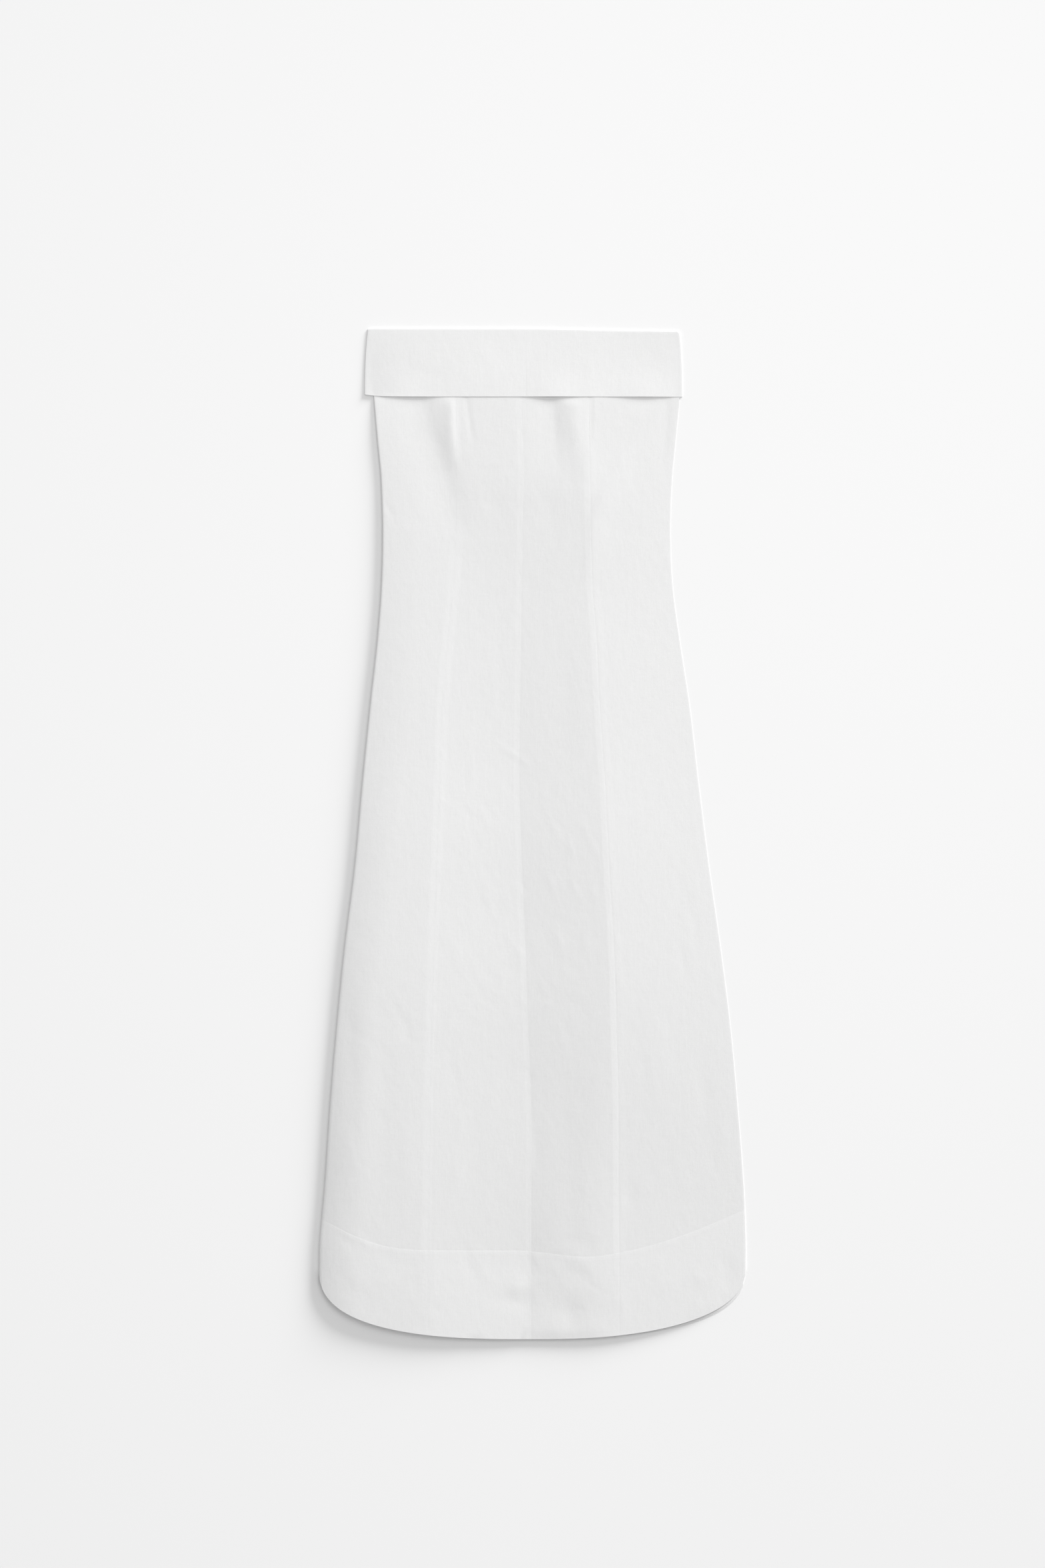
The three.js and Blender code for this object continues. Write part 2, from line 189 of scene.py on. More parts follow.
# Creases of the front. Each runs through points (across, height, rise), and rise is negative for a trough.
# The two widths are how far it spreads to the left and to the right of the way it runs.
BODICE_CREASES = (
    # long diagonal fold under the cuff on the left: its trough, then its crest
    (((-142, 548, -1.5), (-130, 498, -1.7), (-114, 448, -1.4), (-104, 412, -0.8), (-99, 368, 0)), 18, 30),
    (((-124, 548, 0.1), (-111, 498, 0.2), (-97, 452, 0.15), (-92, 420, 0)), 10, 9),
    # upright ridge beside it that tapers to a point, and a thin crease
    (((-102, 550, 0.8), (-101, 505, 1.0), (-99, 478, 0.6), (-98, 452, 0)), 6, 9),
    (((-83, 548, -0.25), (-76.5, 504, -0.3), (-71, 478, 0)), 3.2, 4.4),
    # soft hollow under the cuff right of the middle, the trough below it and the soft roll beside it
    (((2, 548, -0.1), (20, 550, -0.7), (42, 548, -0.1)), 12, 22),
    (((24, 552, -0.9), (26, 512, -0.9), (28, 482, -0.5), (30, 446, 0)), 8, 26),
    (((50, 548, 0.9), (52, 507, 1.0), (57, 472, 0.6), (62, 438, 0)), 13, 12),
    (((73, 548, -0.25), (73, 507, -0.25), (72, 484, 0)), 3, 5),
    # soft hollows under the cuff at the right and at the left
    (((108, 546, -0.1), (142, 548, -0.6), (168, 546, -0.1)), 12, 18),
    (((-192, 546, -0.2), (-165, 548, -0.4), (-142, 546, -0.4)), 12, 18),
    # soft light fold from the right side down to the princess seam, and the one under it
    (((136, 494, 0.1), (112, 460, 0.45), (88, 420, 0.7), (77, 384, 0.6), (73, 310, 0)), 16, 9),
    # soft upright troughs near the right side, right of the middle and left of the middle
    (((168, 545, -0.25), (167, 500, -0.3), (162, 455, 0)), 6, 9),
    (((22.5, 430, 0), (22.5, 402, -0.3), (22.5, 372, 0)), 12, 12),
    (((-53, 440, 0), (-48, 412, -0.25), (-44, 380, 0)), 13, 13),
    # short crease at the left side of the waist
    (((-188, 416, -0.5), (-180, 404, -0.45), (-172, 393, 0)), 3.5, 4),
)
HIP_CREASES = (
    # upright troughs left of the middle, and the soft hollow right of it
    (((-42.5, 300, 0), (-41, 224, -0.09), (-35, 158, 0)), 8, 10),
    (((-52, 250, 0), (-50, 190, 0.07), (-46, 130, 0)), 8, 8),
    (((36, 262, 0), (40, 190, -0.2), (44, 100, -0.15), (46, 30, 0)), 12, 20),
    # fine slanting wrinkle that ends at the middle
    (((-48, 116, 0.05), (-28, 102, 0.14), (-6, 87, 0.12)), 3.5, 3.2),
    # peak at the middle of the skirt, where a ridge runs into the seam
    (((-42, -108, 0), (-26, -132, 0.06), (-15, -150, 0.24), (-12, -176, 0)), 7, 6),
    # short rumples right of the middle, leaning the same way and uneven in length
    (((20, 22, 0), (28, 4, 0.15), (38, -22, 0)), 3.4, 3.8),
    (((40, 6, 0.0), (47, -14, 0.2), (53, -38, 0)), 3.2, 3.6),
    (((62, 24, 0), (69, -2, 0.16), (80, -34, 0)), 3.6, 3.8),
    (((12, -34, 0.0), (24, -62, 0.18), (33, -88, 0)), 3.6, 4.2),
    (((46, -48, 0), (54, -72, 0.22), (66, -96, 0)), 3.4, 3.4),
    (((70, -50, 0.0), (77, -78, 0.15), (86, -104, 0)), 3.6, 3.6),
    (((22, -106, 0), (34, -134, 0.2), (41, -160, 0)), 4.2, 3.6),
    (((58, -116, 0.0), (66, -138, 0.14), (72, -166, 0)), 3.4, 4.0),
    # long soft ones left of the middle
    (((-92, 20, 0.0), (-82, -20, 0.09), (-70, -66, 0)), 6, 7),
    (((-66, -30, 0.0), (-56, -78, 0.12), (-46, -112, 0)), 5, 6),
    (((-98, -120, 0.0), (-86, -168, 0.10), (-72, -214, 0)), 6, 6),
)
SKIRT_CREASES = (
    # upright troughs beside the left side
    (((-228, -190, 0), (-226, -250, -0.25), (-223, -320, -0.2), (-222, -370, 0)), 8, 9),
    (((-184, -170, 0.0), (-185, -290, -0.2), (-187, -400, -0.25), (-190, -480, 0)), 17, 17),
    (((-152, -330, 0.0), (-154, -420, 0.15), (-158, -490, 0)), 10, 9),
    # trough against the middle seam low down
    (((2, -345, 0.0), (5, -392, -0.25), (4, -436, 0)), 9, 5),
    # long soft ones of the right side
    (((150, -180, 0.0), (158, -280, 0.2), (162, -380, 0)), 16, 18),
    (((206, -230, 0.0), (214, -330, -0.2), (222, -430, 0)), 14, 12),
    (((124, -430, 0), (122, -452, -0.25), (120, -470, 0)), 8, 8),
    (((-70, -330, 0.0), (-74, -400, -0.2), (-80, -470, 0)), 14, 12),
    (((40, -260, 0.0), (42, -340, -0.2), (46, -420, -0.2), (52, -500, -0.3)), 16, 16),
)
HEM_CREASES = (
    # puckers at the facing's stitching right of the middle
    (((62, -508, -0.15), (70, -512, -0.3), (78, -508, -0.1)), 8, 20),
    (((36, -532, -0.1), (52, -546, -0.65), (66, -554, -0.4)), 12, 24),
    (((66, -528, 0), (73, -545, 0.14), (76, -562, 0)), 3.5, 5),
    (((18, -527, 0), (27, -541, 0.16), (36, -556, 0)), 5, 5),
    (((4, -527, 0.15), (10, -536, 0.1)), 6, 6),
    (((98, -532, 0), (104, -546, 0.1), (108, -562, 0)), 3.5, 3.5),
    # soft hollows of the band, and the swell left of the middle seam
    (((6, -572, -0.1), (26, -578, -0.6), (44, -584, -0.4)), 20, 26),
    (((28, -592, -0.3), (48, -598, -1.1), (68, -592, -0.4)), 18, 24),
    (((-34, -562, 0.2), (-20, -564, 0.6), (-6, -562, 0.4)), 16, 13),
    (((-46, -580, -0.1), (-28, -580, -0.35), (-14, -582, -0.3)), 10, 10),
    # slanting crease left of the middle
    (((-84, -521, -0.15), (-77, -540, -0.2), (-60, -570, 0)), 9, 7),
    (((-72, -522, 0.08), (-63, -546, 0.1), (-50, -574, 0)), 7, 8),
    # the hem dips where it is drawn in, and has small ticks
    (((-12, -631, -0.2), (20, -631, -1.0), (62, -630, -0.8), (100, -628, 0)), 9, 9),
    (((-14, -629, -0.5), (-9, -616, 0)), 3, 3),
    (((-84, -627, 0), (-72, -628, -0.4), (-58, -628, 0)), 4, 4),
    # puckers of the band at the left, where the facing turns up to the side
    (((-244, -496, 0.0), (-230, -508, -0.2), (-214, -522, 0)), 6, 5),
    (((-222, -494, 0), (-206, -510, 0.2), (-192, -524, 0)), 5, 6),
    (((-176, -520, 0.0), (-166, -540, -0.15), (-160, -566, 0)), 8, 8),
    (((-250, -530, 0.0), (-226, -566, -0.2), (-190, -590, 0)), 9, 12),
    # hollow inside the right corner, and the lighter swell above the hem there
    (((238, -520, 0.0), (244, -545, -0.5), (236, -570, 0)), 8, 9),
    (((196, -598, 0.1), (222, -588, 0.4), (238, -572, 0.1)), 8, 8),
    (((186, -556, 0), (205, -552, 0.2), (222, -540, 0)), 10, 10),
    (((150, -540, 0.0), (170, -562, 0.15), (196, -580, 0)), 12, 12),
    (((96, -560, 0.0), (110, -584, 0.15), (120, -606, 0)), 10, 10),
)

# Creases of the back, pressed up into the dress by the surface that it lies on
BACK_CREASES = (
    (((-96, 540, 0.7), (-82, 490, 1.0), (-70, 430, 0)), 7, 9),
    (((44, 536, 0.6), (40, 478, 0.9), (48, 420, 0)), 9, 7),
    (((120, 520, 0.3), (108, 452, 0.7), (92, 396, 0)), 10, 12),
    (((-150, 440, 0.2), (-128, 396, 0.6), (-110, 362, 0)), 8, 8),
    (((-30, 330, 0.0), (-38, 240, 0.5), (-34, 150, 0)), 8, 9),
    (((64, 250, 0.0), (78, 160, 0.7), (84, 70, 0)), 12, 10),
    (((-122, 130, 0.0), (-110, 60, 0.5), (-92, -10, 0)), 9, 9),
    (((-60, 10, 0.0), (-44, -64, 0.8), (-26, -124, 0.2)), 8, 8),
    (((36, -30, 0.0), (54, -84, 0.6), (66, -140, 0)), 7, 9),
    (((110, -60, 0.0), (128, -170, 0.7), (136, -280, 0)), 12, 14),
    (((-176, -130, 0.0), (-180, -250, 0.8), (-190, -370, 0)), 13, 12),
    (((-88, -220, 0.0), (-96, -320, 0.6), (-92, -410, 0)), 12, 12),
    (((24, -250, 0.0), (34, -350, 0.8), (30, -450, 0.1)), 12, 10),
    (((186, -300, 0.0), (196, -390, 0.7), (206, -466, 0)), 13, 13),
    (((-40, -530, 0.5), (-28, -566, 0.8), (-22, -606, 0)), 9, 8),
    (((84, -534, 0.4), (96, -572, 0.7), (110, -598, 0)), 9, 10),
    (((-190, -520, 0.4), (-172, -560, 0.6), (-150, -588, 0)), 9, 9),
)
SIDE_CALM = 14

# Soft bumps of the cuff's front: across, height, spread, rise
CUFF_BUMPS = (
    (28, 536, 29, 1.3),
    (138, 536, 32, 1.15),
    (-165, 532, 26, 0.45),
    (-60, 560, 34, 0.4),
    (92, 592, 26, -0.25),
    (-150, 594, 34, -0.2),
    (170, 606, 22, 0.2),
)
CUFF_CREASES = (
    (((-8.3, 632, -0.3), (-8.3, 604, -0.3), (-9, 566, -0.15), (-9, 543, 0)), 9, 12),
    (((-70, 620, 0.0), (-58, 596, 0.12), (-50, 570, 0)), 10, 10),
    (((112, 622, 0.0), (104, 600, 0.12), (100, 574, 0)), 9, 9),
)

# Spacing of the grids of points
FRONT_POINTS_APART = 3.1
BACK_POINTS_APART = 3.6
CUFF_POINTS_APART = 2.6
FOLD_ARCS = (0, 4, 10, 18, 27, 37, 48, 60, 74, 90)
SEAM_SHIFTS = (0, 0.03, 0.08, 0.35, 0.8, 1.4, 2.3, 3.6, 5.2, 6.6, 7.6, 8.6, 10.2)
HEM_SHIFTS = (0, 0.12, 0.35, 0.9, 1.8, 3.2, 5.0)
EDGE_SHIFTS = (0, 0.1, 0.25, 0.55, 1.0, 1.8, 3.0)
BAND_SHIFTS = (-8.6, -6.6, -5.8, -5.0, -3.4, -2.0, -1.2, -0.6, 0, 0.6, 1.3, 2.4, 4.0)
CUFF_SHARES = (0.2, 0.4, 0.6, 0.78, 0.9, 0.97, 1)
BAND_DEPTH = 100
STRAIGHT_FROM = -257
STRAIGHT_PAST_CUFF_EDGE = 6


def smooth(value, low, high):
    """0 up to low, 1 from high on, and a soft step between them."""
    share = np.clip((value - low) / (high - low), 0, 1)
    return share * share * (3 - 2 * share)


def along(keys, values, place):
    """A smooth curve through the rows of a table, flat beyond its ends."""
    rises, runs = np.diff(values), np.diff(keys)
    inner = (values[2:] - values[:-2]) / (keys[2:] - keys[:-2])
    slope = np.concatenate([[rises[0] / runs[0]], inner, [rises[-1] / runs[-1]]])
    place = np.clip(place, keys[0], keys[-1])
    i = np.clip(np.searchsorted(keys, place, side="right") - 1, 0, len(keys) - 2)
    step = runs[i]
    t = (place - keys[i]) / step
    between = values[i] + rises[i] * t * t * (3 - 2 * t)
    return between + slope[i] * step * t * (1 - t) ** 2 - slope[i + 1] * step * (1 - t) * t ** 2


def cut_at(name, y):
    """Where a side or a seam runs at a height."""
    return along(CUT[:, 0], CUT[:, CUT_NAMES.index(name)], y)


def hem_edge(x, left_fullness, right_fullness):
    fullness = np.where(x < 0, left_fullness, right_fullness)
    share = np.minimum(np.abs(x) / (HEM_WIDTH / 2), 1)
    return SIDE_END - HEM_DROP * (1 - share ** fullness) ** (1 / fullness)


def front_hem(x):
    return hem_edge(x, FRONT_LEFT_FULLNESS, FRONT_RIGHT_FULLNESS)


def back_hem(x):
    return hem_edge(x, BACK_FULLNESS, BACK_FULLNESS)


def facing_top(x):
    return along(FACING_TOP[:, 0], FACING_TOP[:, 1], x)


def top_edge(x):
    return TOP - TOP_SLOPE * smooth(x, TOP_SLOPE_FROM, TOP_SLOPE_TO)


def flap_edge(x):
    """Lower edge of the cuff, with its raised left corner."""
    return CUFF_EDGE + LEFT_CORNER_RISE * np.exp(-(x - CUFF_LEFT) / LEFT_CORNER_WIDTH)


def lift(y):
    """How far the back has risen to lie inside the cuff, from 0 to 1."""
    return smooth(y, LIFT_FROM, LIFT_TO)


def crease(path, left, right, x, y):
    """Height of one crease, which spreads to the left and to the right of the way that its path runs."""
    path = np.array(path, float)
    height = np.zeros(np.shape(x))
    far = 3 * max(left, right)
    near = (x > path[:, 0].min() - far) & (x < path[:, 0].max() + far)
    near &= (y > path[:, 1].min() - far) & (y < path[:, 1].max() + far)
    if not near.any():
        return height
    px, py = x[near], y[near]
    closest = np.full(px.shape, np.inf)
    amount = np.zeros(px.shape)
    for (x1, y1, rise1), (x2, y2, rise2) in zip(path[:-1], path[1:]):
        run, climb = x2 - x1, y2 - y1
        t = np.clip(((px - x1) * run + (py - y1) * climb) / (run ** 2 + climb ** 2), 0, 1)
        off_x, off_y = px - x1 - t * run, py - y1 - t * climb
        distance = np.hypot(off_x, off_y)
        spread = np.where(run * off_y - climb * off_x > 0, left, right)
        rise = rise1 + (rise2 - rise1) * t
        nearer = distance < closest
        amount = np.where(nearer, rise * np.exp(-(distance / spread) ** 2), amount)
        closest = np.minimum(closest, distance)
    height[near] = amount
    return height


def rumples(seed, count, box, length, rise, spread, lean):
    """Small uneven creases scattered over a box, which all lean about the same way."""
    random = np.random.default_rng(seed)
    x1, y1, x2, y2 = box
    scattered = []
    for _ in range(count):
        x, y = random.uniform(x1, x2), random.uniform(y1, y2)
        angle = math.radians(lean + random.normal(0, 14))
        half = random.uniform(*length) / 2
        run, climb = half * math.sin(angle), -half * math.cos(angle)
        bend = random.normal(0, 0.12) * half
        high = random.uniform(*rise) * random.choice((-1, 1))
        path = ((x - run, y - climb, 0), (x + bend, y, high), (x + run, y + climb, 0))
        scattered.append((path, random.uniform(*spread), random.uniform(*spread)))
    return tuple(scattered)


FRONT_RUMPLES = (
    rumples(11, 108, (-236, -470, 240, -60), (26, 90), (0.04, 0.14), (4, 9), 6)
    + rumples(12, 60, (-190, -60, 190, 500), (20, 70), (0.02, 0.08), (4, 8), 3)
    + rumples(13, 30, (-200, -610, 210, -520), (14, 40), (0.03, 0.12), (4, 9), 24)
    + rumples(14, 44, (-110, -230, 95, 60), (18, 40), (0.04, 0.12), (3, 5), 24)
)
BACK_RUMPLES = rumples(21, 40, (-220, -560, 220, 500), (24, 80), (0.02, 0.15), (5, 9), 8)
FRONT_CREASES = BODICE_CREASES + HIP_CREASES + SKIRT_CREASES + HEM_CREASES + FRONT_RUMPLES


def stripe(distance, half, soft):
    """1 within half of a line and 0 beyond, with soft edges."""
    return 1 - smooth(np.abs(distance), half - soft, half + soft)


def in_band(x, y):
    """1 over the hem facing."""
    return 1 - smooth(y, facing_top(x) - 0.5, facing_top(x) + 0.7)


def from_sides(x, y):
    """How far a place lies in from the left side and from the right side of the dress."""
    return np.maximum(x - cut_at("left", y), 0), np.maximum(cut_at("right", y) - x, 0)


def round_off(from_left, from_right, left_fold, right_fold):
    """0 at a side, 1 where its fold has rounded off, and a quarter ellipse between."""
    share = np.minimum(np.minimum(from_left / left_fold, from_right / right_fold), 1)
    return np.sqrt(1 - (1 - share) ** 2)


def ridge_line(y):
    """Where the right ridge runs: along the princess seam, and low down to the left of it."""
    return cut_at("princess_right", y) - RIGHT_RIDGE_SHIFT * smooth(-y, 150, 520)


def stand_at(name, y):
    """How high the front stands at one of the table's named places."""
    return along(STAND[:, 0], STAND[:, STAND_NAMES.index(name)], y)


def panels_stand(x, y):
    """How high the four front panels stand: a swell at the left, two ridges and a valley between."""
    left, ridge_left = cut_at("left", y), cut_at("princess_left", y)
    centre, right = cut_at("centre", y), cut_at("right", y)
    ridge_right = ridge_line(y)
    fold_z, swell_z, left_z, low_z, right_z, end_z = (stand_at(name, y) for name in STAND_NAMES[1:])

    def share(start, end):
        return np.clip((x - start) / (end - start), 0, 1)

    swell = (swell_z - fold_z) * (1 - (1 - share(left, left + SWELL_WIDTH)) ** 2)
    side_left = fold_z + swell + (left_z - swell_z) * share(left, ridge_left) ** 1.7
    centre_left = left_z + (low_z - left_z) * (1 - (1 - share(ridge_left, centre)) ** 1.3)
    steepest_first = 1.25 + 0.45 * smooth(-y, 300, 540)
    centre_right = low_z + (right_z - low_z) * (1 - (1 - share(centre, ridge_right)) ** steepest_first)
    side_right = right_z + (end_z - right_z) * share(ridge_right, right)
    inner = np.where(x < centre, centre_left, centre_right)
    return np.where(x < ridge_left, side_left, np.where(x > ridge_right, side_right, inner))


def stand(x, y):
    """The same with its ridges and valley softened, most at the left ridge and low down at the right one."""
    near_left = np.exp(-((x - cut_at("princess_left", y)) / RIDGE_SPREAD) ** 2)
    near_right = np.exp(-((x - ridge_line(y)) / RIDGE_SPREAD) ** 2) * smooth(-y, 20, 480)
    soft = VALLEY_SOFTNESS + (LEFT_RIDGE_SOFTNESS - VALLEY_SOFTNESS) * near_left
    soft = soft + (RIGHT_RIDGE_SOFTNESS - VALLEY_SOFTNESS) * near_right
    shifts = ((-1, 1), (-0.5, 2), (0, 2), (0.5, 2), (1, 1))
    softened = sum(weight * panels_stand(x + shift * soft, y) for shift, weight in shifts) / 8
    inside = smooth(np.minimum(*from_sides(x, y)), 3, 12)
    return panels_stand(x, y) * (1 - inside) + softened * inside


def fold_middle(from_left, from_right, y):
    """Height at which the front and the back meet in the nearer side fold."""
    high = np.where(from_left < from_right, stand_at("left_fold", y), stand_at("right_fold", y))
    return (high + CUFF_STEP * lift(y)) / 2


def seam_relief(x, y):
    """The fine groove of each front seam, and the low step over its allowances."""
    off_left, off_right = x - cut_at("princess_left", y), x - cut_at("princess_right", y)
    off_centre = x - cut_at("centre", y)
    steps = SEAM_STEP * stripe(off_left, ALLOWANCE, 2) * smooth(y, 420, 360)
    steps = steps + SEAM_STEP * stripe(off_right, ALLOWANCE, 2)
    grooves = SEAM_GROOVE * np.exp(-(off_right / GROOVE_WIDTH) ** 2)
    grooves = grooves + SEAM_GROOVE * np.exp(-((off_centre - 1.0) / GROOVE_WIDTH) ** 2)
    return (steps - grooves) * (1 - lift(y))


def facing_relief(x, y):
    """The step over the hem facing, its turned edge and the line of stitches that draws it in."""
    below = facing_top(x) - y
    turned = stripe(below - TURNED_EDGE / 2, TURNED_EDGE / 2, 0.9)
    pucker = 0.5 + 0.5 * np.sin(x / 4.6 + 1.6 * np.sin(x / 23))
    pull = np.exp(-((below + 0.4) / 1.3) ** 2) * (0.01 + 0.025 * pucker)
    return 0.04 * in_band(x, y) + 0.02 * turned - pull


def front_top(x, y):
    """Height of the outer face of the front."""
    from_left, from_right = from_sides(x, y)
    up, down = np.zeros(np.shape(x)), np.zeros(np.shape(x))
    for path, left, right in FRONT_CREASES:
        height = crease(path, left, right, x, y)
        up += np.maximum(height, 0)
        down += np.maximum(-height, 0)
    high = stand(x, y)
    air = high - CUFF_STEP * lift(y)
    room = np.maximum(TROUGH_SHARE * air - FACING_ROOM * in_band(x, y), LEAST_ROOM)
    relief = up * (1 - smooth(y, CUFF_EDGE - 12, CUFF_EDGE + 1)) - room * np.tanh(down / room)
    relief += seam_relief(x, y) + facing_relief(x, y)
    high = high + smooth(np.minimum(from_left, from_right), 0, SIDE_CALM) * relief
    middle = fold_middle(from_left, from_right, y)
    rounded = round_off(from_left, from_right, LEFT_FOLD, RIGHT_FOLD)
    return middle + np.maximum((high - middle) * rounded, SEAM_GAP / 2)


def back_seam(y):
    return (cut_at("left", y) + cut_at("right", y)) / 2


def back_under(x, y):
    """Height of the outer face of the back, which lies on the surface."""
    from_left, from_right = from_sides(x, y)
    up = np.zeros(np.shape(x))
    for path, left, right in BACK_CREASES + BACK_RUMPLES:
        up += np.maximum(crease(path, left, right, x, y), 0)
    groove = 0.1 * np.exp(-((x - back_seam(y)) / 1.1) ** 2)
    pull = 0.12 * np.exp(-((facing_top(x) - y - 0.8) / 1.2) ** 2)
    calm = smooth(np.minimum(from_left, from_right), 0, SIDE_CALM) * smooth(from_right, 20, 90)
    calm = calm * (1 - lift(y))
    low = CUFF_STEP * lift(y) + calm * (0.6 * np.tanh(up / 0.6) + groove + pull)
    middle = fold_middle(from_left, from_right, y)
    rounded = round_off(from_left, from_right, LEFT_FOLD, RIGHT_FOLD)
    return middle - np.maximum((middle - low) * rounded, SEAM_GAP / 2)


class Line:
    """A line that a piece ends on: where it runs, which way the piece lies, and its fold if it has one."""

    def __init__(self, at, into, fold=0):
        self.at = at
        self.into = into
        self.fold = fold

    def shifts(self):
        if self.fold:
            return [self.fold * (1 - math.cos(math.radians(arc))) for arc in FOLD_ARCS]
        return [SEAM_GAP / 2 + shift for shift in SEAM_SHIFTS]


def cut_line(name, into, fold=0):
    return Line(lambda y: cut_at(name, y), into, fold)


def columns_between(start, end, widest, apart):
    """Columns of a grid: the share of the way from start to end, the shift from there, and a fold's arc."""
    first, last = start.shifts(), end.shifts()
    arcs = np.radians(FOLD_ARCS)
    steps = round((widest - first[-1] - last[-1]) / apart)
    share = np.arange(1, steps) / steps
    shares = np.concatenate([np.zeros(len(first)), share, np.ones(len(last))])
    shifts = np.concatenate([first, first[-1] * (1 - share) - last[-1] * share, -np.array(last[::-1])])
    start_arcs = arcs if start.fold else np.full(len(first), np.nan)
    end_arcs = arcs[::-1] if end.fold else np.full(len(last), np.nan)
    return shares, shifts, np.concatenate([start_arcs, np.full(len(share), np.nan), end_arcs])


def columns_at(start, end, columns, y):
    """Places across of a grid's columns at heights y."""
    shares, shifts, _ = columns
    return start.at(y) * (1 - shares) + end.at(y) * shares + shifts


def body_grid(start, end, hem, widest, apart):
    """Places and heights of the points of a body panel, a row at a time from the hem to the top."""
    columns = columns_between(start, end, widest, apart)
    at_hem = columns_at(start, end, columns, BOTTOM)
    low, band = hem(at_hem), facing_top(at_hem)
    rows = [low + shift for shift in HEM_SHIFTS]
    steps = round(BAND_DEPTH / apart)
    from_y, to_y = rows[-1], band + BAND_SHIFTS[0]
    rows += [from_y + (to_y - from_y) * i / steps for i in range(1, steps)]
    rows += [band + shift for shift in BAND_SHIFTS]
    steps = round((STRAIGHT_FROM - band.mean()) / apart)
    from_y = rows[-1]
    rows += [from_y + (STRAIGHT_FROM - from_y) * i / steps for i in range(1, steps)]
    straight_to = CUFF_EDGE + STRAIGHT_PAST_CUFF_EDGE
    steps = round((straight_to - STRAIGHT_FROM) / apart)
    step = (straight_to - STRAIGHT_FROM) / steps
    rows += [np.full(len(low), STRAIGHT_FROM + step * i) for i in range(steps + 1)]
    top = top_edge(columns_at(start, end, columns, TOP)) - TOP_TUCK
    in_cuff = top - CUFF_EDGE - STRAIGHT_PAST_CUFF_EDGE
    rows += [straight_to + in_cuff * share for share in CUFF_SHARES]
    y = np.array(rows)
    return columns_at(start, end, columns, y), y


def unit_normals(points):
    """Unit normals of a grid of points, which look up where its columns run to +X and its rows to +Y."""
    normal = np.cross(np.gradient(points, axis=1), np.gradient(points, axis=0))
    return normal / np.maximum(np.linalg.norm(normal, axis=2, keepdims=True), 1e-9)


def lengths(points, axis):
    """Length of cloth from a grid's first row or column to each point."""
    steps = np.linalg.norm(np.diff(points, axis=axis), axis=2)
    start = np.zeros_like(np.take(steps, [0], axis=axis))
    return np.concatenate([start, np.cumsum(steps, axis=axis)], axis=axis)


def cloth_map(points):
    """Places on the flat cloth, across and up, so that the weave follows the cloth."""
    across, up = lengths(points, 1), lengths(points, 0)
    middle = points.shape[1] // 2
    u = across - across[:, [middle]] + points[:, [middle], 0]
    return np.stack([u, up + points[[0], :, 1]], axis=2)


def cloth_mesh(name, outer, thickness, face, layers_and_painted_shade):
    """A thin closed wall under a grid of points on its outer face, with rounded edges.

    face is 1 where the outer face looks up and -1 where it looks down. The last argument is how much cloth
    lies behind each point, less a painted shade where the body's hollow inside is deep; it is stored on the
    points to tint the colour.
    """
    rows, columns = outer.shape[:2]
    half = thickness / 2
    normal = unit_normals(outer)
    across, up = lengths(outer, 1), lengths(outer, 0)
    from_edge = np.minimum.reduce([across, across[:, [-1]] - across, up, up[[-1]] - up])
    rounded = np.sqrt(1 - (1 - np.minimum(from_edge / EDGE_ROUNDING, 1)) ** 2)
    full = half - EDGE_ROUNDING * (1 - rounded)
    middle = outer - face * half * normal
    upper, lower = middle + full[..., None] * normal, middle - full[..., None] * normal
    points = np.concatenate([upper.reshape(-1, 3), lower.reshape(-1, 3)]) * MM

    index = np.arange(rows * columns).reshape(rows, columns)
    quads = np.stack([index[:-1, :-1], index[:-1, 1:], index[1:, 1:], index[1:, :-1]], axis=2).reshape(-1, 4)
    rim = np.concatenate([index[0, :], index[1:, -1], index[-1, -2::-1], index[-2:0:-1, 0]])
    following, below = np.roll(rim, -1), rows * columns
    sides = np.stack([following, rim, rim + below, following + below], axis=1)
    faces = np.concatenate([quads, quads[:, ::-1] + below, sides])

    mesh = bpy.data.meshes.new(name)
    mesh.from_pydata(points.tolist(), [], faces.tolist())
    mesh.polygons.foreach_set("use_smooth", np.ones(len(faces), bool))
    flat = cloth_map(outer).reshape(-1, 2) * MM
    corner_points = np.zeros(len(mesh.loops), np.int32)
    mesh.loops.foreach_get("vertex_index", corner_points)
    uv = mesh.uv_layers.new(name="cloth")
    uv.data.foreach_set("uv", np.concatenate([flat, flat])[corner_points].ravel())
    behind = mesh.attributes.new("layers_and_painted_shade", "FLOAT", "POINT")
    behind.data.foreach_set("value", np.tile(np.broadcast_to(layers_and_painted_shade, (rows, columns)).ravel(), 2))
    mesh.validate()
    mesh.update()
    return mesh


class Term:
    """A shader socket that takes part in Python sums."""

    def __init__(self, shader, socket):
        self.shader = shader
        self.socket = socket

    def sum_with(self, operation, first, second=None):
        values = {0: first} if second is None else {0: first, 1: second}
        return self.shader.node("ShaderNodeMath", {"operation": operation}, values)

    def __add__(self, other):
        return self.sum_with("ADD", self, other)

    def __sub__(self, other):
        return self.sum_with("SUBTRACT", self, other)

    def __rsub__(self, other):
        return self.sum_with("SUBTRACT", other, self)

    def __mul__(self, other):
        return self.sum_with("MULTIPLY", self, other)

    __radd__ = __add__
    __rmul__ = __mul__

    def sine(self):
        return self.sum_with("SINE", self)

    def size(self):
        return self.sum_with("ABSOLUTE", self)

    def above(self, limit):
        return self.sum_with("GREATER_THAN", self, limit)


